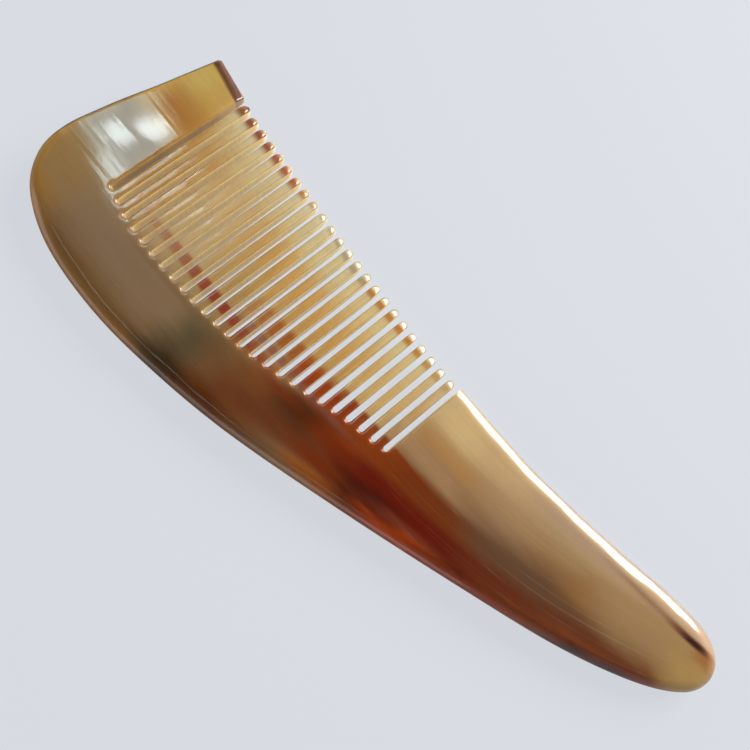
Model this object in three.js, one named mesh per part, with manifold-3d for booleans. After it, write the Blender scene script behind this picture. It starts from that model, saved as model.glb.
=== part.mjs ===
// A beard comb sawn, tapered and polished from one piece of ox horn: a curved head with
// 24 teeth between a broad end guard and a long handle that grows out of the same plate.
//
// The comb lies flat on z = 0. X runs along it, from the head (-X) to the end of the
// handle (+X), +Y points the way the teeth point, and Z is the thickness. The origin is
// under the middle of its bounding box. Lengths are millimetres.
//
// Nothing on the comb comes apart. Its named regions are separate meshes, parted by a
// hair-thin kerf, so that each one is a simple shape and the gaps between the teeth stay open.

import * as THREE from 'three';
import { mergeVertices } from 'three/addons/utils/BufferGeometryUtils.js';
import Module from 'manifold-3d';

// Plate
const THICKNESS = 5.6;
const EDGE_ROUNDING = 2.2; // radius of the polished outer edges
const EDGE_STEPS = 3;
const MID_PLANE = THICKNESS / 2;

// Teeth
const TOOTH_COUNT = 24;
const TOOTH_WIDTH = 2.1;
const GAP_WIDTH = 1.45; // also the width of the saw that cut the gaps
const TOOTH_PITCH = TOOTH_WIDTH + GAP_WIDTH;
const FIRST_GAP = -79; // left wall of the gap beside the end guard
const SHOULDER = FIRST_GAP + TOOTH_COUNT * TOOTH_PITCH + GAP_WIDTH; // where the handle starts
const TOOTH_ROUNDING = 0.4; // softened long edges of a tooth
const GAP_ROUNDING = 0.35; // softened edges of the gap bottoms
const TIP_CURVE = 1.6; // length over which a tooth narrows to its round tip

// Taper of the toothed side, seen along X
const TAPER_FOOT = -0.5; // y where the plate starts to thin
const TAPER_END = 27.5;
const END_THICKNESS = 3.6;
const TIP_BEVEL = 2.5; // length of the ground facets on each tip
const TIP_THICKNESS = 2.2;

// Lines that the tips and the gap bottoms follow along the row
const TIP_LINE_LOW = 22.9; // y of the tips beside the handle
const TIP_LINE_RISE = 4.4; // how much further the teeth at the guard reach
const TIP_LINE_POWER = 1.6;
const GAP_BOTTOMS = [[-79, -10.7], [-70, -12.8], [-58, -13.3], [-43, -12.5], [-29, -10.4],
  [-14, -6], [-4, -3], [7, -0.6]];

// Outline of the plate, from the guard's corner round the head, back and handle
const GUARD_CORNER = [-90, 29.3];
const GUARD_INNER_CORNER = [FIRST_GAP, 27.5];
const HEAD_END = [[-92.5, 14.4], [-95, 1.2], [-96.5, -10], [-95, -18.5], [-88.6, -25.5],
  [-77, -29.9], [-61, -31.2], [-44, -29.9]];
const BACK = [[-20, -25.5], [10, -16.9], [40.5, -7.1], [66, 1.8], [83.6, 10.1], [93.6, 17.4]];
const HANDLE_END = [[96.5, 23.4], [94.8, 28.5], [89, 31.3]];
const HANDLE_TOP = [[79.3, 31], [66, 28.8], [51, 26.3], [34.6, 24.2], [20.4, 23.4]];
const SHOULDER_CORNER = [SHOULDER, 23];

// Fineness of the curves and spaces between meshes
const CURVE_STEPS = 3; // chords per control point of the outline
const ARC_STEPS = 4; // half the chords of a round tip or gap bottom
const SOFTENING_STEPS = 2; // chords across a softened sawn edge
const BOTTOM_LINE_STEPS = 100; // chords of the curve that the gap bottoms follow
const KERF = 0.25; // space between neighbouring regions
const BEYOND = 10; // how far a cutter reaches past what it cuts
const FAR = 4 * BEYOND; // past every tip and past the back
const WELD = 1e-5; // vertices closer than this are one

// Polished horn: golden in the teeth, greyer in the head, cream in the handle
const HORN = { roughness: 0.22, metalness: 0 };
const SPINE_HORN = new THREE.MeshStandardMaterial({ ...HORN, color: 0x7c6243 });
const TOOTH_HORN = new THREE.MeshStandardMaterial({ ...HORN, color: 0xc5a05a });
const GUARD_HORN = new THREE.MeshStandardMaterial({ ...HORN, color: 0xb08538 });
const HANDLE_HORN = new THREE.MeshStandardMaterial({ ...HORN, color: 0xa9875c });

const wasm = await Module();
wasm.setup();

// A closed three.js geometry as a manifold solid
function solid(geometry) {
  const bare = geometry.clone();
  bare.deleteAttribute('normal');
  bare.deleteAttribute('uv');
  const merged = mergeVertices(bare, WELD);
  return new wasm.Manifold(new wasm.Mesh({
    numProp: 3,
    vertProperties: merged.attributes.position.array,
    triVerts: new Uint32Array(merged.index.array),
  }));
}

// A manifold solid as a named three.js mesh
function namedMesh(name, body, material) {
  const { vertProperties, triVerts } = body.getMesh();
  const geometry = new THREE.BufferGeometry();
  geometry.setAttribute('position', new THREE.BufferAttribute(vertProperties, 3));
  geometry.setIndex(new THREE.BufferAttribute(triVerts, 1));
  geometry.computeVertexNormals();
  const mesh = new THREE.Mesh(geometry, material);
  mesh.name = name;
  return mesh;
}

const vectors = (points) => points.map(([x, y]) => new THREE.Vector2(x, y));

// Shape bounded by straight lines through the points
const polygon = (points) => new THREE.Shape(vectors(points));

// Shape standing on the plate's plane, reaching above and below it
function throughCutter(shape) {
  const options = { depth: THICKNESS + 2 * BEYOND, bevelEnabled: false, curveSegments: ARC_STEPS };
  return solid(new THREE.ExtrudeGeometry(shape, options).translate(0, 0, -BEYOND));
}

// Profile drawn in Y and Z, extruded along X from `start` to `start + length`
function alongX(profile, start, length, options) {
  const geometry = new THREE.ExtrudeGeometry(profile, { depth: length, ...options });
  const axes = [new THREE.Vector3(0, 1, 0), new THREE.Vector3(0, 0, 1), new THREE.Vector3(1, 0, 0)];
  geometry.applyMatrix4(new THREE.Matrix4().makeBasis(...axes));
  return solid(geometry.translate(start, 0, 0));
}

const gapLeft = (gap) => FIRST_GAP + gap * TOOTH_PITCH;
const toothLeft = (tooth) => gapLeft(tooth) + GAP_WIDTH;

// y of the tip of a tooth whose middle is at x
function tipHeight(x) {
  const along = (SHOULDER - x) / (SHOULDER - FIRST_GAP);
  return TIP_LINE_LOW + TIP_LINE_RISE * along ** TIP_LINE_POWER;
}

// y of the centre of a gap's round bottom, from the curve that the bottoms follow
const bottomLine = new THREE.SplineCurve(vectors(GAP_BOTTOMS)).getPoints(BOTTOM_LINE_STEPS);
function bottomCentre(gap) {
  const x = gapLeft(gap) + GAP_WIDTH / 2;
  const after = Math.max(1, bottomLine.findIndex((point) => point.x > x));
  const [a, b] = [bottomLine[after - 1], bottomLine[after]];
  const along = (x - a.x) / (b.x - a.x);
  return a.y + along * (b.y - a.y) + GAP_WIDTH / 2;
}

// y where a tooth is parted from the spine: both of its gaps are straight above it
const seamHeight = (tooth) => Math.max(bottomCentre(tooth), bottomCentre(tooth + 1)) + KERF;

// Thickness of the plate on its toothed side
function thicknessAt(y) {
  const along = (y - TAPER_FOOT) / (TAPER_END - TAPER_FOOT);
  return THICKNESS + (END_THICKNESS - THICKNESS) * Math.max(0, along);
}

// The plate before sawing: the whole outline with its polished edges. Over the teeth the
// outline runs straight across, beyond their tips.
function blank() {
  const outline = new THREE.Shape();
  outline.moveTo(...GUARD_CORNER);
  outline.splineThru(vectors([...HEAD_END, ...BACK, ...HANDLE_END, ...HANDLE_TOP, SHOULDER_CORNER]));
  outline.lineTo(SHOULDER, TAPER_END + BEYOND);
  outline.lineTo(FIRST_GAP, TAPER_END + BEYOND);
  outline.lineTo(...GUARD_INNER_CORNER);
  outline.closePath();
  return solid(new THREE.ExtrudeGeometry(outline, {
    depth: THICKNESS - 2 * EDGE_ROUNDING,
    bevelThickness: EDGE_ROUNDING,
    bevelSize: EDGE_ROUNDING,
    bevelOffset: -EDGE_ROUNDING,
    bevelSegments: EDGE_STEPS,
    curveSegments: CURVE_STEPS,
  }).translate(0, 0, EDGE_ROUNDING));
}

// What is ground off one face of the head so that it thins towards the tips
function taperCutter(side) {
  const faceAt = (y) => MID_PLANE + side * thicknessAt(y) / 2;
  const outside = MID_PLANE + side * (THICKNESS / 2 + BEYOND);
  const top = TAPER_END + 2 * BEYOND;
  const corners = [[TAPER_FOOT, faceAt(TAPER_FOOT)], [top, faceAt(top)], [top, outside],
    [TAPER_FOOT, outside]];
  const start = GUARD_CORNER[0] - BEYOND;
  const middleOfLastGap = SHOULDER - GAP_WIDTH / 2;
  return alongX(polygon(corners), start, middleOfLastGap - start, { bevelEnabled: false });
}

// Everything between the guard and the handle above the spine: the sawn gaps with their
// round bottoms, and the room that the teeth fill
function toothRoom() {
  const top = TAPER_END + 2 * BEYOND;
  const room = new THREE.Shape();
  room.moveTo(SHOULDER, top);
  room.lineTo(FIRST_GAP, top);
  for (let gap = 0; gap <= TOOTH_COUNT; gap += 1) {
    const centre = bottomCentre(gap);
    const left = gapLeft(gap);
    room.lineTo(left, centre);
    room.absarc(left + GAP_WIDTH / 2, centre, GAP_WIDTH / 2, Math.PI, 2 * Math.PI);
    if (gap < TOOTH_COUNT) {
      room.lineTo(left + GAP_WIDTH, seamHeight(gap) - KERF);
      room.lineTo(left + TOOTH_PITCH, seamHeight(gap) - KERF);
    }
  }
  room.lineTo(SHOULDER, top);
  // The bevel widens the room towards both faces, which softens the edges that it leaves
  return solid(new THREE.ExtrudeGeometry(room, {
    depth: THICKNESS - 2 * GAP_ROUNDING,
    bevelThickness: GAP_ROUNDING,
    bevelSize: -GAP_ROUNDING,
    bevelOffset: GAP_ROUNDING,
    bevelSegments: SOFTENING_STEPS,
    curveSegments: ARC_STEPS,
  }).translate(0, 0, GAP_ROUNDING));
}

// Outline of one tooth seen from above: straight sides and a round tip
function toothOutline(tooth) {
  const left = toothLeft(tooth);
  const middle = left + TOOTH_WIDTH / 2;
  const shoulder = tipHeight(middle) - TIP_CURVE;
  const outline = new THREE.Shape();
  outline.moveTo(left, seamHeight(tooth));
  outline.lineTo(left + TOOTH_WIDTH, seamHeight(tooth));
  outline.absellipse(middle, shoulder, TOOTH_WIDTH / 2, TIP_CURVE, 0, Math.PI, false, 0);
  outline.closePath();
  return outline;
}

// Profile of one tooth seen along X: its two faces taper, then meet the ground tip facets
function toothProfile(tooth) {
  const tip = tipHeight(toothLeft(tooth) + TOOTH_WIDTH / 2);
  const stations = [
    [TAPER_FOOT - 2 * BEYOND, THICKNESS],
    [TAPER_FOOT, THICKNESS],
    [tip - TIP_BEVEL, thicknessAt(tip - TIP_BEVEL)],
    [tip + TOOTH_ROUNDING, TIP_THICKNESS],
  ];
  const lower = stations.map(([y, thickness]) => [y, MID_PLANE - thickness / 2]);
  const upper = stations.map(([y, thickness]) => [y, MID_PLANE + thickness / 2]);
  return polygon([...lower, ...upper.reverse()]);
}

function toothSolid(tooth) {
  const start = toothLeft(tooth) + TOOTH_ROUNDING;
  const profile = alongX(toothProfile(tooth), start, TOOTH_WIDTH - 2 * TOOTH_ROUNDING, {
    bevelThickness: TOOTH_ROUNDING,
    bevelSize: TOOTH_ROUNDING,
    bevelOffset: -TOOTH_ROUNDING,
    bevelSegments: SOFTENING_STEPS,
  });
  return profile.intersect(throughCutter(toothOutline(tooth)));
}

// The three regions of the plate below and beside the teeth, by where the plate is parted
const guardSeam = bottomCentre(0);
const handleSeam = SHOULDER - GAP_WIDTH / 2;
const middleOfFirstGap = FIRST_GAP + GAP_WIDTH / 2;
const leftEnd = GUARD_CORNER[0] - FAR;
const rightEnd = HANDLE_END[0][0] + FAR;
const rectangle = (left, bottom, right, top) => (
  polygon([[left, bottom], [right, bottom], [right, top], [left, top]]));
const guardRegion = rectangle(leftEnd, guardSeam + KERF, middleOfFirstGap, FAR);
const handleRegion = rectangle(handleSeam + KERF / 2, -FAR, rightEnd, FAR);
const spineRegion = polygon([[leftEnd, -FAR], [handleSeam - KERF / 2, -FAR],
  [handleSeam - KERF / 2, FAR], [middleOfFirstGap, FAR], [middleOfFirstGap, guardSeam],
  [leftEnd, guardSeam]]);

const plate = [taperCutter(1), taperCutter(-1), toothRoom()]
  .reduce((body, cutter) => body.subtract(cutter), blank());
const region = (shape) => plate.intersect(throughCutter(shape));

const comb = new THREE.Group();
comb.name = 'beard_comb';
comb.add(namedMesh('spine', region(spineRegion), SPINE_HORN));
comb.add(namedMesh('end_guard', region(guardRegion), GUARD_HORN));
comb.add(namedMesh('handle', region(handleRegion), HANDLE_HORN));
for (let tooth = 0; tooth < TOOTH_COUNT; tooth += 1) {
  const name = `tooth_${String(tooth + 1).padStart(2, '0')}`;
  comb.add(namedMesh(name, toothSolid(tooth), TOOTH_HORN));
}

export default comb;
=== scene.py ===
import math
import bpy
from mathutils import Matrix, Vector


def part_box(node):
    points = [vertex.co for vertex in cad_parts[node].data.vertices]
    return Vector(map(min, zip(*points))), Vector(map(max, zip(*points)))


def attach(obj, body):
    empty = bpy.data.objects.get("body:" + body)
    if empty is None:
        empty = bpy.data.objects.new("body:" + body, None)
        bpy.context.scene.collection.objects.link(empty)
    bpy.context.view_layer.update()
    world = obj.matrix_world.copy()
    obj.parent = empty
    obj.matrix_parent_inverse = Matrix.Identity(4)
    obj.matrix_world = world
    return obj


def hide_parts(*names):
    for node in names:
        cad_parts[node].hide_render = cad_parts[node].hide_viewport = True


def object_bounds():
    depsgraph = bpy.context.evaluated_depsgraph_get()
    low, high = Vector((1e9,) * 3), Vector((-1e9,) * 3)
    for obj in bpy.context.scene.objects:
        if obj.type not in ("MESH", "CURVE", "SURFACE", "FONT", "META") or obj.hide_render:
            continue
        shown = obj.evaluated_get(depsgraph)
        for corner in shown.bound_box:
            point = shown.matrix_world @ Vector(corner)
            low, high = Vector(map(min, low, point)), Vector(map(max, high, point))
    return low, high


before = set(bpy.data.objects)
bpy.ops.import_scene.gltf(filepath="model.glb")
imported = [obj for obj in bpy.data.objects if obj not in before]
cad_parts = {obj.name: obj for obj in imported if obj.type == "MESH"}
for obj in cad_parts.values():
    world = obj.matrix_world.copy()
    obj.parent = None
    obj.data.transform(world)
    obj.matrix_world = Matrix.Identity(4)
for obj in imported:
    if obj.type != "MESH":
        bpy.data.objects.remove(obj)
CAD_LOW, CAD_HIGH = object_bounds()

# A beard comb sawn, tapered and polished from one piece of ox horn. The CAD regions of the
# plate are replaced by one continuous mesh: the outline is drawn once, points are laid in
# rings along its edges and in a grid between them, and both faces take their height from
# one function. Lengths are millimetres, and become metres where Blender objects are made.

from types import SimpleNamespace

import bpy
import numpy as np
from mathutils import Matrix, Vector, geometry, kdtree

MM = 0.001
RANDOM = np.random.default_rng(7)

# Plate
THICKNESS = (CAD_HIGH.z - CAD_LOW.z) / MM
MID_PLANE = THICKNESS / 2
# How far the polished rounding reaches in from the outer edge, at shares of the way round
# from the guard's corner to the shoulder
EDGE_WIDTHS = [(0, 0.7), (0.12, 0.8), (0.16, 2.2), (0.2, 4.2), (0.3, 4.2), (0.38, 3.2),
               (0.6, 3.0), (0.7, 2.6), (0.8, 3.4), (0.9, 3.2), (1, 2.7)]
EDGE_DROP = 2.3         # the most that it takes off each face at the edge itself
# The handle's top edge begins between these shares. The rounding is flatter there and sets in
# more sharply, so each of the next two pairs has a value for elsewhere and one for there.
TOP_EDGE = (0.72, 0.8)
EDGE_STEEPNESS = (0.8, 0.62)    # share of its width that the rounding takes off each face
EDGE_SQUARENESS = (1.3, 1.1)    # 2 is an ellipse; less sets in more sharply
SAWN_ROUNDING = 0.42    # softened edges of the teeth and gaps
BOTTOM_ROUNDING = 0.9   # wider at the gap bottoms, where the polishing strap pulls
WAVINESS = 0.03         # of a face polished by hand
LEAST_HALF = 0.12       # half thickness that is left at the thinnest edge

# Taper of the toothed side
TAPER_FOOT = -0.5
TAPER_END = 27.5
END_THICKNESS = 3.6
TAPER_BLEND = 0.25      # share of the taper over which the slope sets in

# Tips of the teeth and the end of the guard
TIP_CURVE = 1.6         # length over which a tooth narrows to its round tip
TIP_DOME = 2.2          # length over which each face curves down to the tip
TIP_RADIUS = 3.0        # of that curve
TIP_CREASE = 0.12       # slope with which it starts
TIP_CROWN = 0.25        # how much the middle of a tip stands over its sides
TOOTH_CROWN = 0.01      # how much the middle of a tooth's face stands over its sides
TOOTH_LEAN = 0.006      # slope across a tooth's face left by hand polishing, at most
CROWN_START = (-8, 2)   # y between which crown and lean set in
GUARD_END_THICKNESS = 2.2
GUARD_FACET_THICKNESS = 3.8     # of the guard where its end facet starts
GUARD_BEVEL = (0.9, 2.1)        # length of that facet at the outer and the inner corner
FACET_BLEND = 0.12      # how softly it meets the face

# Outline control points, from the guard's corner round the head, back and handle
GUARD_CORNER = (-90, 29.3)
GUARD_INNER_Y = 27.5
HEAD_END = [(-92.5, 14.4), (-95, 1.2), (-96.5, -10), (-95, -18.5), (-88.6, -25.5),
            (-77, -29.9), (-61, -31.2), (-44, -29.9)]
BACK = [(-20, -25.5), (10, -16.9), (40.5, -7.1), (66, 1.8), (83.6, 10.1), (93.6, 17.4)]
HANDLE_END = [(96.5, 23.4), (94.8, 28.5), (89, 31.3)]
HANDLE_TOP = [(79.3, 31), (66, 28.8), (51, 26.3), (34.6, 24.2), (20.4, 23.4)]
SHOULDER_Y = 23.0
GAP_BOTTOMS = [(-79, -10.7), (-70, -12.8), (-58, -13.3), (-43, -12.5), (-29, -10.4),
               (-14, -6), (-4, -3), (7, -0.6)]

# Fineness of the mesh
OUTER_RINGS = (0.04, 0.15, 0.35, 0.65, 1.05, 1.55, 2.1, 2.75, 3.4, 4.1, 4.8)
SAWN_RINGS = (0.03, 0.09, 0.18, 0.30, 0.44, 0.6, 0.8, 1.1)
GRID_SPACING = 1.4
EDGE_SPACING = 0.9      # along the outer edge
END_SPACING = 0.5       # along the guard's end
WALL_SPACING = 1.1      # up the sawn walls and the middles of the teeth
FINE_LENGTH = 4.0       # of a tooth below its tip, where points lie closer together
FINE_POINTS = 14        # up that length of a wall
TIP_POINTS = 15         # round a tooth's tip
BOTTOM_POINTS = 11      # round a gap's bottom
COLUMN_FOOT = -14       # y where the two lines of points up a tooth start
COLUMN_OFFSET = 0.25    # of those lines from the tooth's middle
COLUMN_CLEARANCE = 0.6  # from them to any edge
GRID_CLEARANCE = 1.0    # from the grid to any edge
MERGE_DISTANCE = 0.004  # under which two points become one


def sides_of(name):
    """x of a tooth's two sides and y of its tip, from its CAD box."""
    low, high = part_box(name)
    return low.x / MM, high.x / MM, high.y / MM


TEETH = [sides_of(name) for name in sorted(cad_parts) if name.startswith("tooth_")]
TOOTH_MIDDLES = [(left + right) / 2 for left, right, _ in TEETH]
TOOTH_TIPS = [tip for _, _, tip in TEETH]
TOOTH_WIDTH = TEETH[0][1] - TEETH[0][0]
GAP = TEETH[1][0] - TEETH[0][1]
GUARD_INNER_X = TEETH[0][0] - GAP
SHOULDER_X = TEETH[-1][1] + GAP
FIRST_GAP_X = GUARD_INNER_X + GAP / 2   # middle of the gap between the guard and the teeth
LAST_GAP_X = SHOULDER_X - GAP / 2       # middle of the gap between the teeth and the handle
LEANS = RANDOM.uniform(-TOOTH_LEAN, TOOTH_LEAN, len(TEETH)) * TOOTH_WIDTH / 2


# The mesh ---------------------------------------------------------------------------------

def spline(points, steps):
    """A smooth curve through the points, the same as the CAD outline's."""
    p = np.array(points, float)
    before = np.vstack([p[:1], p[:-2]])
    after = np.vstack([p[2:], p[-1:]])
    t = (np.arange(steps) / steps)[:, None]
    pieces = []
    for a, b, c, d in zip(before, p[:-1], p[1:], after):
        into, out = (c - a) / 2, (d - b) / 2
        cubic = 2 * b - 2 * c + into + out
        square = -3 * b + 3 * c - 2 * into - out
        pieces.append(cubic * t**3 + square * t**2 + into * t + b)
    return np.vstack([*pieces, p[-1:]])


def respaced(points, spacing):
    """The same polyline with its points evenly spaced."""
    steps = np.linalg.norm(np.diff(points, axis=0), axis=1)
    along = np.concatenate([[0], np.cumsum(steps)])
    wanted = np.linspace(0, along[-1], max(2, round(along[-1] / spacing) + 1))
    return np.column_stack([np.interp(wanted, along, points[:, i]) for i in (0, 1)])


def arc(centre, half_width, half_height, start, end, steps):
    """Part of an ellipse, from angle `start` to angle `end` in degrees."""
    turn = np.radians(np.linspace(start, end, steps))
    return np.column_stack([centre[0] + half_width * np.cos(turn),
                            centre[1] + half_height * np.sin(turn)])


def wall(x, low, high):
    """Points up a straight sawn wall, closer together near the tip's dome."""
    fine = high - FINE_LENGTH
    ys = np.concatenate([np.arange(low, fine, WALL_SPACING),
                         np.linspace(fine, high, FINE_POINTS)])
    return np.column_stack([np.full(len(ys), x), ys])


def sawn_outline():
    """From the handle's shoulder, round every tooth and gap, to the guard's inner corner."""
    bottom_line = spline(GAP_BOTTOMS, 30)
    parts = []
    right_wall, right_top = SHOULDER_X, SHOULDER_Y
    for left, right, tip in reversed(TEETH):
        top = tip - TIP_CURVE
        parts += gap_outline(bottom_line, right_wall, right_top, right, top)
        middle = (left + right) / 2
        tip_arc = arc((middle, top), TOOTH_WIDTH / 2, TIP_CURVE, 0, 180, TIP_POINTS)
        parts.append(tip_arc[1:-1])
        right_wall, right_top = left, top
    parts += gap_outline(bottom_line, right_wall, right_top, GUARD_INNER_X, GUARD_INNER_Y)
    return np.vstack(parts)


def gap_outline(bottom_line, right_wall, right_top, left_wall, left_top):
    """Down the right wall of a gap, round its bottom and up its left wall."""
    middle = (left_wall + right_wall) / 2
    radius = (right_wall - left_wall) / 2
    centre = np.interp(middle, bottom_line[:, 0], bottom_line[:, 1]) + radius
    return [wall(right_wall, centre, right_top)[::-1],
            arc((middle, centre), radius, radius, 0, -180, BOTTOM_POINTS)[1:-1],
            wall(left_wall, centre, left_top)]


def nearest_on(points, line):
    """Distance of each point from a polyline, and its nearest corner there."""
    tree = kdtree.KDTree(len(line))
    for i, (x, y) in enumerate(line):
        tree.insert((x, y, 0), i)
    tree.balance()
    nearest = np.array([tree.find((x, y, 0))[1] for x, y in points])
    best = np.full(len(points), np.inf)
    for step in (-1, 0):
        start = np.clip(nearest + step, 0, len(line) - 2)
        run = line[start + 1] - line[start]
        offset = points - line[start]
        t = np.clip((offset * run).sum(1) / (run**2).sum(1), 0, 1)
        best = np.minimum(best, np.linalg.norm(offset - t[:, None] * run, axis=1))
    return best, nearest


def distance_to(points, line):
    return nearest_on(points, line)[0]


def edge_profile(corner, corners):
    """Width, drop and squareness of the outer edge's rounding at a corner of the outline."""
    share = corner / (corners - 1)
    width = np.interp(share, *zip(*EDGE_WIDTHS))
    # a few per cent wider and narrower along the way, as hand polishing leaves it
    width *= 1 + 0.05 * np.sin(share * 61) + 0.04 * np.sin(share * 143 + 1)
    drop = np.minimum(width * np.interp(share, TOP_EDGE, EDGE_STEEPNESS), EDGE_DROP)
    return width, drop, np.interp(share, TOP_EDGE, EDGE_SQUARENESS)


def rounding(distance, width, drop, squareness=2.0):
    """How far a rounded edge lies under the face, `distance` in from it."""
    inward = np.clip(1 - distance / width, 0, 1)
    return drop * (1 - np.sqrt(1 - inward**squareness))


def soft_min(a, b, blend):
    """The lower of two heights, with the corner between them softened."""
    h = np.clip(0.5 + (b - a) / (2 * blend), 0, 1)
    return b + (a - b) * h - blend * h * (1 - h)


def beneath_tip(points):
    """How far each point of the toothed side lies below the line of the tips."""
    x, y = points[:, 0], points[:, 1]
    guard_end = np.interp(x, [GUARD_CORNER[0], GUARD_INNER_X], [GUARD_CORNER[1], GUARD_INNER_Y])
    tips = np.interp(x, TOOTH_MIDDLES, TOOTH_TIPS)
    return np.where(x < FIRST_GAP_X, guard_end, tips) - y


def face_height(points):
    """Height of the polished face over the plate's middle, before its edges are rounded."""
    x, y = points[:, 0], points[:, 1]
    toothed = x < LAST_GAP_X
    share = np.clip((y - TAPER_FOOT) / (TAPER_END - TAPER_FOOT), 0, None)
    eased = np.where(share < TAPER_BLEND, share**2 / (2 * TAPER_BLEND), share - TAPER_BLEND / 2)
    face = THICKNESS / 2 - np.where(toothed, eased, 0) * (THICKNESS - END_THICKNESS) / 2
    face -= WAVINESS * (1 + np.sin(x * 0.13 + 1.3) * np.cos(y * 0.21 - x * 0.05))
    on_guard = x < FIRST_GAP_X
    into_dome = np.clip(TIP_DOME - beneath_tip(points), 0, None) * (toothed & ~on_guard)
    face -= into_dome * TIP_CREASE + into_dome**2 / (2 * TIP_RADIUS)
    bevel = np.interp(x, [GUARD_CORNER[0], GUARD_INNER_X], GUARD_BEVEL)
    slope = (GUARD_FACET_THICKNESS - GUARD_END_THICKNESS) / 2 / bevel
    facet = GUARD_END_THICKNESS / 2 + beneath_tip(points) * slope
    return soft_min(face, np.where(on_guard, facet, THICKNESS), FACET_BLEND)


def half_thickness(points, from_edge, profile, from_sawn):
    """Height of the face over the plate's middle, with its crowned teeth and rounded edges."""
    x, y = points[:, 0], points[:, 1]
    toothed = x < LAST_GAP_X
    face = face_height(points)
    tooth = np.abs(x[:, None] - np.array(TOOTH_MIDDLES)).argmin(1)
    across = (x - np.array(TOOTH_MIDDLES)[tooth]) / (TOOTH_WIDTH / 2)
    on_tooth = (np.abs(across) < 1.01) * np.interp(y, CROWN_START, (0, 1))
    crown = TOOTH_CROWN + TIP_CROWN * np.clip(1 - beneath_tip(points) / TIP_DOME, 0, 1)
    face -= on_tooth * (crown * across**2 + LEANS[tooth] * across)
    bottoms = np.interp(x, *zip(*GAP_BOTTOMS)) + GAP / 2
    under_gap = np.clip((bottoms - y) / (GAP / 2), 0, 1) * toothed
    sawn_width = SAWN_ROUNDING + (BOTTOM_ROUNDING - SAWN_ROUNDING) * under_gap
    drop = np.maximum(rounding(from_edge, *profile),
                      rounding(from_sawn, sawn_width, (SAWN_ROUNDING + sawn_width) / 2))
    return np.maximum(face - drop, LEAST_HALF)


def ring_points(outline, closed, depths):
    """Points set in from the outline by each depth, where no other edge is nearer."""
    ahead = np.roll(outline, -1, axis=0) - outline
    behind = outline - np.roll(outline, 1, axis=0)
    run = ahead / np.linalg.norm(ahead, axis=1)[:, None]
    run += behind / np.linalg.norm(behind, axis=1)[:, None]
    inward = np.column_stack([-run[:, 1], run[:, 0]])
    inward /= np.linalg.norm(inward, axis=1)[:, None]
    kept = []
    for depth in depths:
        moved = outline + depth * inward
        kept.append(moved[distance_to(moved, closed) > depth * 0.97])
    return np.vstack(kept)


def inside(points, outline):
    """Whether each point lies in a closed polygon."""
    x, y = points[:, 0], points[:, 1]
    result = np.zeros(len(points), bool)
    for (x0, y0), (x1, y1) in zip(outline, np.roll(outline, -1, axis=0)):
        crosses = (y0 > y) != (y1 > y)
        at = x0 + (y[crosses] - y0) * (x1 - x0) / (y1 - y0) if y0 != y1 else 0
        result[crosses] ^= x[crosses] < at
    return result


def staggered_grid(low, high):
    """Points in rows across a rectangle, every other row half a step along."""
    rows = []
    for row, y in enumerate(np.arange(low[1], high[1], GRID_SPACING * 0.87)):
        xs = np.arange(low[0] + (row % 2) * GRID_SPACING / 2, high[0], GRID_SPACING)
        rows.append(np.column_stack([xs, np.full(len(xs), y)]))
    return np.vstack(rows)


def tooth_columns():
    """Two lines of points up the middle of each tooth, closer together near the tip."""
    columns = []
    for middle, tip in zip(TOOTH_MIDDLES, TOOTH_TIPS):
        fine = tip - FINE_LENGTH
        ys = np.concatenate([np.arange(COLUMN_FOOT, fine, WALL_SPACING),
                             np.arange(fine, tip - COLUMN_CLEARANCE, 0.3)])
        for x in (middle - COLUMN_OFFSET, middle + COLUMN_OFFSET):
            columns.append(np.column_stack([np.full(len(ys), x), ys]))
    return np.vstack(columns)


def outer_edge():
    """The polished edge, from the guard's corner round the head and handle to the shoulder."""
    shoulder = (SHOULDER_X, SHOULDER_Y)
    corners = [GUARD_CORNER, *HEAD_END, *BACK, *HANDLE_END, *HANDLE_TOP, shoulder]
    return respaced(spline(corners, 40), EDGE_SPACING)


def inner_points(outer, outline):
    """Rings of points along the edges, columns up the teeth and a grid over the rest."""
    closed = np.vstack([outline, outline[:1]])
    columns = tooth_columns()
    columns = columns[inside(columns, outline)]
    columns = columns[distance_to(columns, closed) > COLUMN_CLEARANCE]
    grid = staggered_grid(outline.min(0), outline.max(0))
    grid = grid[inside(grid, outline)]
    grid = grid[distance_to(grid, closed) > GRID_CLEARANCE]
    grid = grid[distance_to(grid, outer) > OUTER_RINGS[-1] + 0.3]
    return np.vstack([ring_points(outline, closed, SAWN_RINGS),
                      ring_points(outer, closed, OUTER_RINGS), columns, grid])


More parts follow.
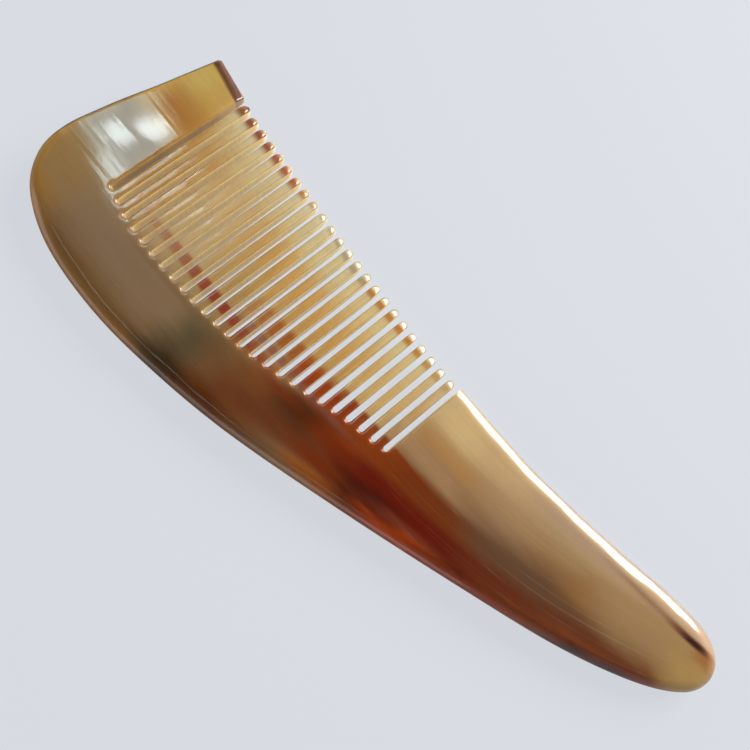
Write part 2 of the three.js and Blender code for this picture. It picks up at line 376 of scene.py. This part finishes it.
def comb_mesh():
    """The whole comb: two faces of one height function, joined by the wall of the outline."""
    outer = outer_edge()
    sawn = sawn_outline()
    guard_end = respaced(np.array([sawn[-1], outer[0]]), END_SPACING)
    sawn = np.vstack([sawn, guard_end[1:]])
    outline = np.vstack([outer, sawn[1:-1]])
    points = np.vstack([outline, inner_points(outer, outline)])

    count = len(outline)
    edges = [(i, (i + 1) % count) for i in range(count)]
    flat, _, triangles, *_ = geometry.delaunay_2d_cdt(
        [Vector(point) for point in points], edges, [], 1, MERGE_DISTANCE)
    flat = np.array([tuple(point) for point in flat])
    triangles = [tuple(triangle) for triangle in triangles]

    from_edge, corner = nearest_on(flat, outer)
    from_sawn = distance_to(flat, sawn)
    height = half_thickness(flat, from_edge, edge_profile(corner, len(outer)), from_sawn)
    top = np.column_stack([flat, MID_PLANE + height])
    bottom = np.column_stack([flat, MID_PLANE - height])
    n = len(flat)
    sides = {side for a, b, c in triangles for side in ((a, b), (b, c), (c, a))}
    walls = [(a + n, b + n, b, a) for a, b in sides if (b, a) not in sides]
    underside = [(a + n, c + n, b + n) for a, b, c in triangles]

    mesh = bpy.data.meshes.new("comb")
    corners = (np.vstack([top, bottom]) * MM).tolist()
    mesh.from_pydata(corners, [], triangles + underside + walls)
    mesh.update()
    mesh.shade_smooth()
    attributes = {"from_edge": from_edge, "from_sawn": from_sawn, "from_tip": beneath_tip(flat)}
    for name, values in attributes.items():
        made = mesh.attributes.new(name, "FLOAT", "POINT")
        made.data.foreach_set("value", np.tile(values, 2).astype(np.float32))
    print("comb:", 2 * n, "vertices", len(mesh.polygons), "faces")
    return mesh


# Materials --------------------------------------------------------------------------------

def colour(red, green, blue):
    """A colour named by its 0 to 255 screen values, as the renderer wants it."""
    linear = [(v / 255 / 12.92 if v < 10.3 else ((v / 255 + 0.055) / 1.055) ** 2.4)
              for v in (red, green, blue)]
    return (*linear, 1)


def node(tree, kind, inputs=None, output=0, **settings):
    """Adds a node. A socket given as an input is linked, and anything else is set."""
    made = tree.nodes.new(kind)
    for name, value in settings.items():
        setattr(made, name, value)
    for key, value in (inputs or {}).items():
        if isinstance(value, bpy.types.NodeSocket):
            tree.links.new(value, made.inputs[key])
        else:
            made.inputs[key].default_value = value
    return made.outputs[output]


def maths(tree, operation, a, b=0.0):
    return node(tree, "ShaderNodeMath", {0: a, 1: b}, operation=operation)


def product(tree, value, *factors):
    """All the values multiplied together."""
    for factor in factors:
        value = maths(tree, "MULTIPLY", value, factor)
    return value


def vector_maths(tree, operation, a, b=(0, 0, 0)):
    return node(tree, "ShaderNodeVectorMath", {0: a, 1: b}, operation=operation)


def smooth_step(tree, value, start, end, low=0.0, high=1.0):
    """`low` up to `start`, `high` from `end` on, and a smooth change between them."""
    ends = {"From Min": start, "From Max": end, "To Min": low, "To Max": high}
    return node(tree, "ShaderNodeMapRange", {"Value": value, **ends},
                interpolation_type="SMOOTHSTEP")


def mix(tree, factor, a, b, blend="MIX"):
    return node(tree, "ShaderNodeMix", {"Factor": factor, "A": a, "B": b}, 2,
                data_type="RGBA", blend_type=blend)


def tinted(tree, factor, paint, tint):
    """A colour multiplied by a tint, as far as the factor says."""
    return mix(tree, factor, paint, (*tint, 1), "MULTIPLY")


def noise(tree, x, y, rates, detail):
    """Noise on the flat, that changes at the two rates along x and y, per millimetre."""
    place = node(tree, "ShaderNodeCombineXYZ",
                 {0: product(tree, x, rates[0]), 1: product(tree, y, rates[1])})
    return node(tree, "ShaderNodeTexNoise", {"Vector": place, "Scale": 1.0, "Detail": detail})


def ramp(tree, value, stops):
    """Colours along a value: stops are (value, colour), and their range is scaled to 0..1."""
    first, last = stops[0][0], stops[-1][0]
    scaled = node(tree, "ShaderNodeMapRange",
                  {"Value": value, "From Min": first, "From Max": last})
    made = tree.nodes.new("ShaderNodeValToRGB")
    tree.links.new(scaled, made.inputs["Fac"])
    elements = made.color_ramp.elements
    made.color_ramp.interpolation = "EASE"
    while len(elements) < len(stops):
        elements.new(0.5)
    for element, (place, paint) in zip(elements, stops):
        element.position = (place - first) / (last - first)
        element.color = paint
    return made.outputs["Color"]


def separate(tree, vector):
    """The three parts of a vector."""
    made = tree.nodes.new("ShaderNodeSeparateXYZ")
    tree.links.new(vector, made.inputs[0])
    return made.outputs["X"], made.outputs["Y"], made.outputs["Z"]


def attribute(tree, name):
    return node(tree, "ShaderNodeAttribute", output=2, attribute_name=name)


def zone(tree, base, place, centre, reach, soft, turn, paint, strength):
    """Paints one soft-edged, turned rectangle over a colour."""
    offset = vector_maths(tree, "SUBTRACT", place, (*centre, 0))
    turned = node(tree, "ShaderNodeVectorRotate", {"Vector": offset, "Angle": math.radians(turn)},
                  rotation_type="Z_AXIS", invert=True)
    x, y, _ = separate(tree, vector_maths(tree, "ABSOLUTE", turned))
    along = smooth_step(tree, x, reach[0] + soft[0], reach[0] - soft[0], 0.0, strength)
    across = smooth_step(tree, y, reach[1] + soft[1], reach[1] - soft[1])
    return mix(tree, product(tree, along, across), base, paint)


def principled(name, sockets):
    """A new material with the sockets of its shader set, and that shader."""
    material = bpy.data.materials.new(name)
    material.use_nodes = True
    shader = material.node_tree.nodes["Principled BSDF"]
    for socket, value in sockets.items():
        shader.inputs[socket].default_value = value
    return material, shader


# Colour up the toothed side, from the head's lower edge to the tips
HEAD_COLOURS = [
    (-33.5, colour(122, 86, 46)), (-25.5, colour(126, 92, 54)), (-18.5, colour(142, 112, 78)),
    (-13.3, colour(142, 112, 74)), (-11.5, colour(158, 130, 86)), (-5.5, colour(180, 146, 94)),
    (1.5, colour(186, 152, 92)), (9.5, colour(196, 160, 98)), (17.5, colour(206, 188, 142)),
    (24.5, colour(206, 198, 168)),
]
# Colour across the handle, from its back (0) to its top edge (1)
HANDLE_COLOURS = [
    (0, colour(140, 72, 38)), (0.2, colour(108, 56, 28)), (0.36, colour(112, 76, 48)),
    (0.5, colour(142, 104, 68)), (0.66, colour(168, 134, 92)), (0.85, colour(186, 158, 118)),
    (1, colour(196, 170, 132)),
]
# Patches and streaks: middle, half length and width, softness along and across, turn in
# degrees, colour and strength, painted one over the other
ZONES = [
    # the guard: deep amber in its middle, olive yellow above, brown at its ground end
    ((-86, 19.5), (9, 14), (3, 6), 0, colour(190, 148, 58), 0.85),
    ((-87.5, 21.5), (2.5, 5), (2.5, 4), -10, colour(194, 168, 92), 0.8),
    ((-84, 13), (6, 3.5), (3, 5.0), 0, colour(164, 102, 22), 0.9),
    ((-86, 0), (8, 7), (3, 4), 0, colour(148, 108, 58), 0.9),
    ((-84, 27.1), (8, 1.2), (1, 0.4), -9.5, colour(94, 52, 34), 0.95),
    # teeth: greyer by the guard, golden in the middle, paler beside the handle
    ((-73, 4), (6, 14), (4, 8), 0, colour(176, 134, 74), 0.75),
    ((-58, 4), (8, 14), (7, 8), 0, colour(196, 172, 128), 0.7),
    ((-45, 0), (6, 9), (5, 6), 0, colour(176, 144, 84), 0.5),
    ((-30, 6.5), (20, 5), (12, 5), 0, colour(196, 150, 80), 0.6),
    ((-2, 9.5), (8, 8), (6, 5), 0, colour(212, 186, 132), 0.5),
    ((-20, 16), (7, 6), (6, 6), 0, colour(212, 184, 128), 0.5),
    # the head: honey rim, taupe middle, smoke
    ((-93, -14), (2, 7), (2, 4), -8, colour(158, 126, 68), 0.8),
    ((-89, -17), (9, 8), (6, 6), -40, colour(156, 120, 64), 0.75),
    ((-62, -20), (18, 5), (10, 4), -3, colour(140, 112, 82), 0.85),
    ((-86, -26), (9, 3), (6, 2.4), -28, colour(158, 116, 50), 0.85),
    ((-64, -30), (26, 2.0), (8, 1.6), -1, colour(140, 100, 48), 0.85),
    ((-50, -14.3), (14, 0.8), (6, 0.7), 1, colour(120, 90, 54), 0.5),
    ((-31, -15.5), (8, 4.5), (5, 4), 10, colour(126, 86, 48), 0.85),
    ((-40.5, -21.5), (4.5, 7.5), (4.5, 4), -14, colour(88, 76, 48), 0.85),
    ((-38, -27), (7, 4), (6, 3), 8, colour(70, 42, 14), 0.85),
    ((-24, -21), (9, 6), (8, 5), 14, colour(112, 58, 16), 0.75),
    ((-29, -24.5), (5, 3.5), (4, 3), 12, colour(98, 48, 8), 0.8),
    # brown shades of the spine beside the handle
    ((4, -9.5), (22, 7), (8, 3), 4, colour(116, 50, 18), 0.95),
    ((-16, -16), (10, 5), (7, 4), 14, colour(112, 58, 24), 0.85),
    ((-22, -13), (6, 2), (5, 2), 8, colour(132, 74, 32), 0.8),
    ((-12, -12), (6, 1.6), (5, 1.6), 8, colour(90, 50, 26), 0.85),
    ((-30, -10.1), (8, 1.1), (5, 1.0), 8, colour(146, 92, 48), 0.8),
    # the band across the roots of the teeth: red, then mauve, then brown
    ((-42, -8.5), (16, 1.35), (12, 0.5), -1, colour(144, 58, 26), 0.95),
    ((-60, -8.2), (7, 1.1), (6, 0.5), 0, colour(152, 92, 62), 0.55),
    ((-26, -5.8), (11, 1.3), (6, 0.9), 4, colour(146, 94, 72), 0.9),
    ((-24, -1.8), (13, 2.2), (8, 0.9), 2, colour(160, 90, 26), 0.9),
    ((-12.5, -2.6), (8, 2.3), (4, 1.2), 4, colour(152, 60, 12), 0.9),
    # the red-brown band and the deep red streak, from the spine into the handle
    ((4, -1.3), (14, 3.2), (4, 0.6), 1, colour(142, 62, 12), 0.95),
    ((22, -0.5), (12, 3.3), (7, 0.8), 6, colour(124, 54, 10), 0.9),
    ((-10, -5.6), (9, 0.7), (6, 0.6), 5, colour(134, 78, 62), 0.7),
    ((-3, -8.6), (10, 2.2), (6, 1.6), 4, colour(126, 48, 6), 0.95),
    ((-13.5, -9.6), (5, 2.2), (4, 1.4), 4, colour(78, 38, 8), 0.85),
    ((-19, -10.2), (5, 1.2), (5, 1.0), 6, colour(122, 50, 8), 0.9),
    ((22, -5.6), (20, 2.6), (8, 1.6), 9, colour(108, 24, 6), 0.95),
    ((44, -1.1), (10, 1.4), (7, 1.2), 14, colour(108, 44, 20), 0.8),
    ((1, -5.7), (4, 1.4), (4, 1), 5, colour(150, 62, 18), 0.6),
    ((12, -10.7), (8, 2.4), (6, 1.8), 10, colour(70, 16, 4), 0.9),
    ((22, -8.8), (11, 1.1), (7, 0.9), 12, colour(132, 58, 36), 0.6),
    ((23, -11.0), (9, 1.4), (7, 0.9), 16, colour(184, 74, 20), 0.85),
    ((40, -6.1), (16, 1.0), (8, 0.7), 17, colour(150, 62, 20), 0.75),
    ((-1, -14), (6, 1.2), (5, 1.2), 12, colour(124, 46, 6), 0.9),
    ((0, -17.6), (6, 1.6), (4, 1.4), 14, colour(168, 92, 26), 0.85),
    # the handle: amber clouds, smoke, and the brown of its lower edge
    ((24, 17), (15, 3.5), (9, 3.5), 0, colour(208, 174, 124), 0.75),
    ((14, 16), (6, 4), (5, 4), 0, colour(214, 186, 132), 0.8),
    ((18, 10.1), (10, 2.2), (8, 2.0), 2, colour(182, 134, 76), 0.7),
    ((15, 5.2), (11, 2.2), (7, 1.4), 2, colour(176, 138, 98), 0.8),
    ((36, 11.5), (9, 5), (7, 4), 6, colour(168, 134, 98), 0.6),
    ((46, 6.1), (13, 2.6), (10, 3), 9, colour(104, 74, 52), 0.75),
    ((61, 14.5), (5, 3.0), (5, 2.5), 30, colour(152, 108, 60), 0.7),
    ((78, 19), (14, 5), (8, 4), 12, colour(170, 136, 92), 0.8),
    ((72, 4.9), (13, 1.0), (6, 1.0), 24, colour(72, 44, 40), 0.85),
    ((92, 20), (6, 6), (4, 4), 40, colour(178, 144, 86), 0.9),
    ((91.5, 13), (6, 1.0), (4, 1.0), 38, colour(110, 76, 44), 0.7),
    ((52, 21.9), (14, 1.6), (8, 1.4), 8, colour(178, 148, 124), 0.7),
    ((80, 28.7), (12, 1.4), (8, 1.2), 5, colour(190, 160, 132), 0.8),
]
# The dark streak at the handle's end, with its long faint tail; nothing warps it
END_STREAKS = [
    ((91.5, 26.2), (3, 1.5), (2.5, 1.2), 10, colour(156, 100, 52), 0.75),
    ((76, 25.5), (13, 0.6), (9, 0.7), 7, colour(150, 106, 88), 0.75),
    ((86, 26.7), (6, 0.75), (4, 0.5), 9, colour(116, 62, 40), 0.9),
    ((87.0, 26.8), (3.0, 0.6), (2.2, 0.5), 11, colour(52, 20, 22), 0.95),
]
# Colour of the teeth's ground tips, along the row
TIP_COLOURS = [
    (-78, colour(136, 86, 54)), (-70, colour(138, 82, 52)), (-62, colour(154, 94, 58)),
    (-56, colour(162, 104, 66)), (-50, colour(174, 132, 88)), (-45, colour(168, 156, 124)),
    (-28, colour(170, 158, 128)), (-23, colour(180, 126, 66)), (-8, colour(184, 128, 56)),
    (0, colour(184, 150, 92)), (7, colour(184, 166, 128)),
]


# The grain runs straight along the comb up to BEND_X. From there it bends up with the square
# of the distance, as the handle's back and top edge do. The back also has a slope.
BEND_X = 10.0
BACK_Y, BACK_SLOPE, BACK_BEND = -16.9, 0.28, 0.0012
TOP_Y, TOP_BEND = 22.9, 0.0016
GRAIN_BEND = 0.0033
HANDLE_BLEND = (-4.0, 12.0)     # x between which the head's colours give way to the handle's

# Tints that multiply the colour, and paints that cover it
# painted glow of backlit horn along the back's rounding
RIM_GLOW = (1.5, 1.32, 0.66)
# painted shade at the outermost edge
OUTERMOST_SHADE = (0.42, 0.38, 0.32)
# painted shade on the handle's top rounding
TOP_EDGE_SHADE_PAINT = colour(150, 132, 122)
GUARD_EDGE_PAINT = colour(72, 66, 54)
# painted shade on the tips' domes
DOME_SHADE = (0.7, 0.68, 0.66)
PALE_TIP_PAINT = colour(158, 154, 138)
STREAK_TINT = (1.1, 1.08, 1.05)
FIBRE_TINT = (0.72, 0.66, 0.58)
STROKE_TINT = (0.8, 0.76, 0.7)
LAYER_PAINT = colour(214, 190, 160)
# painted shade along the teeth's rounded edges
CORNER_SHADE = (0.7, 0.66, 0.64)
# painted glow on the walls of the gaps
WALL_GLOW_PAINT = colour(255, 236, 180)
SAW_MARK_TINT = (0.66, 0.56, 0.45)

# Rates of the patterns along and across the grain, or across and up the teeth
WARP_RATES = (0.035, 0.3)
WARP_REACH = (9, 1.7)
FIBRE_RATES = (0.02, 1.1)
STREAK_RATES = (0.012, 0.28)
LAYER_RATES = (0.009, 0.75)
STROKE_RATES = (2.6, 0.05)
SAW_MARK_RATES = (1.98, 2.2)


def horn_place(tree):
    """Place on the comb in millimetres, as it is and warped a little along the grain."""
    where = node(tree, "ShaderNodeTexCoord", output=3)
    place = vector_maths(tree, "MULTIPLY", where, (1 / MM, 1 / MM, 0))
    stretched = vector_maths(tree, "MULTIPLY", place, (*WARP_RATES, 0))
    drift = node(tree, "ShaderNodeTexNoise", {"Vector": stretched, "Scale": 1.0, "Detail": 4.0}, 1)
    centred = vector_maths(tree, "SUBTRACT", drift, (0.5, 0.5, 0.5))
    pushed = vector_maths(tree, "MULTIPLY", centred, (*WARP_REACH, 0))
    return place, vector_maths(tree, "ADD", place, pushed)


def past_bend(tree, x):
    """Distance past the bend, and the square of it, which is 0 before the bend."""
    past = maths(tree, "SUBTRACT", x, BEND_X)
    return past, maths(tree, "POWER", maths(tree, "MAXIMUM", past, 0.0), 2.0)


def handle_share(tree, x, y):
    """How far up between the back and the top edge of the handle a place is."""
    past, square = past_bend(tree, x)
    back = maths(tree, "ADD", product(tree, past, BACK_SLOPE), BACK_Y)
    back = maths(tree, "ADD", back, product(tree, square, BACK_BEND))
    top = maths(tree, "ADD", product(tree, square, TOP_BEND), TOP_Y)
    height = maths(tree, "SUBTRACT", top, back)
    return maths(tree, "DIVIDE", maths(tree, "SUBTRACT", y, back), height)


def clouds(tree, place, warped):
    """The colours that go through the horn."""
    x, y, _ = separate(tree, warped)
    head = ramp(tree, y, HEAD_COLOURS)
    handle = ramp(tree, handle_share(tree, x, y), HANDLE_COLOURS)
    paint = mix(tree, smooth_step(tree, x, *HANDLE_BLEND), head, handle)
    for patch in ZONES:
        paint = zone(tree, paint, warped, *patch)
    for patch in END_STREAKS:
        paint = zone(tree, paint, place, *patch)
    return paint


def surface_values(tree, place):
    """What the finer marks go by: place, height across the grain, edges, tips and teeth."""
    x, y, _ = separate(tree, place)
    _, square = past_bend(tree, x)
    return SimpleNamespace(
        x=x, y=y,
        across=maths(tree, "SUBTRACT", y, product(tree, square, GRAIN_BEND)),
        from_edge=attribute(tree, "from_edge"),
        from_sawn=attribute(tree, "from_sawn"),
        from_tip=attribute(tree, "from_tip"),
        on_teeth=product(tree, smooth_step(tree, x, FIRST_GAP_X - 0.1, FIRST_GAP_X + 0.1),
                         smooth_step(tree, x, LAST_GAP_X + 0.1, LAST_GAP_X - 0.1)))


def paint_outer_edge(tree, paint, at):
    """Painted glow and painted shade along the outer edges, and a dark grey edge on the guard."""
    # painted glow: the back's rounding painted lighter, as thin horn looks when lit from behind
    rim = product(tree, smooth_step(tree, at.from_edge, 3.2, 0.4),
                  smooth_step(tree, at.across, -6.0, -12.0),
                  smooth_step(tree, at.x, -50.0, 0.0, 0.8, 0.35))
    paint = tinted(tree, rim, paint, RIM_GLOW)
    # painted shade: the outermost edge painted darker
    outermost = smooth_step(tree, at.from_edge, 0.7, 0.1, 0.0, 0.8)
    paint = tinted(tree, outermost, paint, OUTERMOST_SHADE)
    # painted shade: the handle's top rounding painted grey above its highlight
    top_edge = product(tree, smooth_step(tree, at.from_edge, 1.8, 0.5),
                       smooth_step(tree, at.across, 4.0, 9.0),
                       smooth_step(tree, at.x, 12.0, 40.0, 0.0, 0.7))
    paint = mix(tree, top_edge, paint, TOP_EDGE_SHADE_PAINT)
    guard_edge = product(tree, smooth_step(tree, at.from_edge, 0.8, 0.3),
                         smooth_step(tree, at.y, -16.0, -8.0),
                         smooth_step(tree, at.x, -82.0, -88.0))
    return mix(tree, guard_edge, paint, GUARD_EDGE_PAINT)


def paint_tips(tree, paint, at):
    """The ground tips: a band of colour, longer by the guard and lower down by the handle."""
    # painted shade: the tips darker towards their ends, where the domes curve down
    dome = product(tree, smooth_step(tree, at.from_tip, TIP_DOME + 0.2, 0.6), at.on_teeth)
    paint = tinted(tree, dome, paint, DOME_SHADE)
    pale = product(tree, dome, smooth_step(tree, at.x, -52.0, -46.0, 0.0, 0.8))
    paint = mix(tree, pale, paint, PALE_TIP_PAINT)
    stretched = product(tree, at.from_tip, smooth_step(tree, at.x, -55.0, -45.0, 0.6, 1.0))
    band = maths(tree, "SUBTRACT", stretched, smooth_step(tree, at.x, -45.0, -28.0, 0.0, 1.8))
    in_band = product(tree, smooth_step(tree, band, 0.1, 1.0),
                      smooth_step(tree, band, TIP_DOME + 0.6, TIP_DOME - 0.7), at.on_teeth)
    return mix(tree, in_band, paint, ramp(tree, at.x, TIP_COLOURS))


def paint_marks(tree, paint, at, fibres, streaks):
    """Streaks and fibres, polishing strokes up the teeth, and layers of horn cut through."""
    streaked = smooth_step(tree, streaks, 0.35, 0.7, 0.0, 0.28)
    paint = tinted(tree, streaked, paint, STREAK_TINT)
    fibrous = smooth_step(tree, fibres, 0.35, 0.75, 0.0, 0.16)
    paint = tinted(tree, fibrous, paint, FIBRE_TINT)
    strokes = noise(tree, at.x, at.y, STROKE_RATES, 3.0)
    stroked = product(tree, smooth_step(tree, strokes, 0.45, 0.62, 0.0, 0.45),
                      smooth_step(tree, at.y, -9.0, -3.0), at.on_teeth)
    paint = tinted(tree, stroked, paint, STROKE_TINT)
    layers = noise(tree, at.x, at.across, LAYER_RATES, 1.0)
    from_layer = maths(tree, "ABSOLUTE", maths(tree, "SUBTRACT", layers, 0.58))
    lined = product(tree, smooth_step(tree, from_layer, 0.012, 0.0, 0.0, 0.12),
                    smooth_step(tree, at.x, 4.0, 34.0, 0.15, 1.0))
    return mix(tree, lined, paint, LAYER_PAINT)


def paint_sawn_walls(tree, paint, at, on_wall):
    """The walls of the gaps: painted glow and painted shade, with marks of the saw across them."""
    # painted shade along the rounded edges of the teeth and gaps
    corner = smooth_step(tree, at.from_sawn, 0.45, 0.1, 0.0, 0.6)
    paint = tinted(tree, corner, paint, CORNER_SHADE)
    # painted glow: the gap walls painted pale, as the thin horn looks with light coming through it
    glow = smooth_step(tree, at.x, GUARD_INNER_X, GUARD_INNER_X + 0.2, 0.28, 0.7)
    paint = mix(tree, product(tree, on_wall, glow), paint, WALL_GLOW_PAINT)
    saw_marks = noise(tree, at.x, at.y, SAW_MARK_RATES, 2.0)
    scratched = product(tree, on_wall, smooth_step(tree, saw_marks, 0.45, 0.6, 0.0, 0.2))
    return tinted(tree, scratched, paint, SAW_MARK_TINT)


def polish_weight(tree, at):
    """Polish covers the faces. It is worn at the back's edge and missing in the gaps."""
    polish = smooth_step(tree, at.from_sawn, 0.0, 0.03, 0.1, 0.85)
    worn = product(tree, smooth_step(tree, at.from_edge, 1.0, 0.2, 0.0, 0.75),
                   smooth_step(tree, at.across, -4.0, -9.0))
    return product(tree, polish, maths(tree, "SUBTRACT", 1.0, worn))


def horn():
    """Polished ox horn: translucent, clouded and streaked along the grain."""
    material, shader = principled("horn", {
        "Specular IOR Level": 0.2,
        "Subsurface Weight": 0.9,
        "Subsurface Radius": (1.0, 0.7, 0.4),
        "Subsurface Scale": 0.004,
        "Coat Roughness": 0.06,
    })
    tree = material.node_tree
    place, warped = horn_place(tree)
    paint = clouds(tree, place, warped)
    at = surface_values(tree, place)
    paint = paint_outer_edge(tree, paint, at)
    paint = paint_tips(tree, paint, at)
    fibres = noise(tree, at.x, at.across, FIBRE_RATES, 5.0)
    streaks = noise(tree, at.x, at.across, STREAK_RATES, 2.0)
    paint = paint_marks(tree, paint, at, fibres, streaks)
    on_wall = smooth_step(tree, at.from_sawn, 0.02, 0.0)
    paint = paint_sawn_walls(tree, paint, at, on_wall)

    relief = {"Height": fibres, "Strength": 1.0, "Distance": 0.00001}
    wiped = maths(tree, "ADD", streaks, product(tree, fibres, 0.25))
    hand_polish = {"Height": wiped, "Strength": 1.0, "Distance": 0.00003}
    links = {
        "Base Color": paint,
        "Coat Weight": polish_weight(tree, at),
        "Roughness": smooth_step(tree, fibres, 0.3, 0.7, 0.28, 0.42),
        "Normal": node(tree, "ShaderNodeBump", relief),
        "Coat Normal": node(tree, "ShaderNodeBump", hand_polish),
    }
    for socket, value in links.items():
        tree.links.new(value, shader.inputs[socket])
    return material


def plain_floor():
    """Pale matt board that glows faintly, as a light table does."""
    return principled("floor", {
        "Base Color": (0.08, 0.08, 0.084, 1),
        "Roughness": 0.8,
        "Specular IOR Level": 0.1,
        "Emission Color": (0.9, 0.94, 1, 1),
        "Emission Strength": 0.68,
    })[0]


# The scene --------------------------------------------------------------------------------

FLOOR_HALF = 3000
FLOOR_GAP = 0.3         # from the comb down to the floor
CAMERA_PLACE = Vector((-3.0, -27.9, 173.6))
CAMERA_TARGET = Vector((-7.7, 8.8, 5.6))
CAMERA_ROLL = math.radians(50.95)

# A window far overhead that the head of the comb mirrors, and panes just under it. Each one
# has a name, the low and high corner of the stretch of face that mirrors it, how bright it
# looks, and a shape.
WINDOW_HEIGHT = 900
WINDOW = ("window", (-98, -9.0), (-72.5, 9.7), 6, "RECTANGLE")
WINDOW_BLUE = (0.38, 0.8, 0.96)
WINDOW_TURN = -12
PANE_HEIGHT = 880
PANES = [
    ("upper_pane", (-88.5, 1.7), (-80.5, 9), 14, "ELLIPSE"),
    ("lower_pane", (-92, -4.5), (-84, 0.2), 14, "ELLIPSE"),
    ("sill", (-86, -9.2), (-68.5, -7.4), 9, "RECTANGLE"),
    ("side_pane", (-75.5, -4), (-63, 3), 6, "RECTANGLE"),
    ("transom", (-68, 0.5), (-56, 1.8), 9, "RECTANGLE"),
]
DAYLIGHT = (0.86, 0.98, 1)


def placed(name, data):
    made = bpy.data.objects.new(name, data)
    bpy.context.collection.objects.link(made)
    return made


def floor_board():
    """A large square board under the comb."""
    half = FLOOR_HALF * MM
    corners = [(-half, -half, 0), (half, -half, 0), (half, half, 0), (-half, half, 0)]
    mesh = bpy.data.meshes.new("floor")
    mesh.from_pydata(corners, [], [(0, 1, 2, 3)])
    mesh.materials.append(plain_floor())
    made = placed("floor", mesh)
    made.location.z = -FLOOR_GAP * MM
    return made


def camera():
    """Looks down on the comb, turned so that the handle points to the lower right."""
    forward = (CAMERA_TARGET - CAMERA_PLACE).normalized()
    side = forward.cross(Vector((0, 1, 0))).normalized()
    up = side.cross(forward)
    turned_side = math.cos(CAMERA_ROLL) * side + math.sin(CAMERA_ROLL) * up
    turned_up = math.cos(CAMERA_ROLL) * up - math.sin(CAMERA_ROLL) * side
    data = bpy.data.cameras.new("camera")
    data.lens = data.sensor_width = 36
    data.clip_start = 0.01
    made = placed("camera", data)
    axes = Matrix((turned_side, turned_up, -forward)).transposed().to_4x4()
    made.matrix_world = Matrix.Translation(CAMERA_PLACE * MM) @ axes
    return made


def softbox(name, place, target, size, radiance, shape="RECTANGLE", tint=(1, 1, 1)):
    """A panel light, given how bright its surface looks."""
    data = bpy.data.lights.new(name, "AREA")
    data.shape = shape
    data.size, data.size_y = size[0] * MM, size[1] * MM
    data.energy = radiance * math.pi * data.size * data.size_y
    data.color = tint
    made = placed(name, data)
    made.location = Vector(place) * MM
    aim = Vector(place) - Vector(target)
    if aim.x or aim.y:
        made.rotation_euler = aim.to_track_quat("Z", "Y").to_euler()
    return made


def mirrored_place(x, y, height):
    """Where something at a height is seen mirrored in the comb's face at (x, y)."""
    step = 0.5
    around = np.array([(x, y), (x + step, y), (x, y + step)])
    h, h_x, h_y = MID_PLANE + face_height(around)
    normal = Vector((h - h_x, h - h_y, step)).normalized()
    face = Vector((x, y, h))
    ray = (face - CAMERA_PLACE).reflect(normal)
    return face + ray * (height - face.z) / ray.z


def mirrored_light(name, low, high, radiance, shape, height, tint, turn=0):
    """A light far overhead that is seen mirrored in a stretch of the comb's face."""
    corners = [mirrored_place(*corner, height) for corner in (low, high)]
    size = corners[1] - corners[0]
    middle = (corners[0] + corners[1]) / 2
    straight_down = (middle.x, middle.y, 0)
    made = softbox(name, middle, straight_down, (abs(size.x), abs(size.y)), radiance, shape, tint)
    made.rotation_euler.z = math.radians(turn)


def studio():
    """Bright all round the horizon and dark overhead, so that flat faces keep their colour."""
    world = bpy.data.worlds.new("studio")
    world.use_nodes = True
    tree = world.node_tree
    _, _, up = separate(tree, node(tree, "ShaderNodeTexCoord", output=0))
    level = smooth_step(tree, up, 0.4, 0.75, 0.5, 0.0)
    tree.links.new(level, tree.nodes["Background"].inputs["Strength"])
    tree.nodes["Background"].inputs["Color"].default_value = (0.93, 0.96, 1, 1)
    return world


comb = placed("comb", comb_mesh())
comb.data.materials.append(horn())
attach(comb, "root")
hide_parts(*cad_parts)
floor_board()

bpy.context.scene.camera = camera()
bpy.context.scene.view_settings.view_transform = "Standard"

# Each softbox has a place, a target, a size and how bright it looks
softbox("key", (100, 720, 345), (0, 0, 0), (700, 400), 13, "ELLIPSE")
softbox("fill", (-100, -640, 200), (0, 0, 0), (1300, 320), 1.2)
softbox("strip", (-120, -430, 640), (0, 0, 0), (900, 30), 2)
mirrored_light(*WINDOW, WINDOW_HEIGHT, WINDOW_BLUE, WINDOW_TURN)
for pane in PANES:
    mirrored_light(*pane, PANE_HEIGHT, DAYLIGHT)
bpy.context.scene.world = studio()
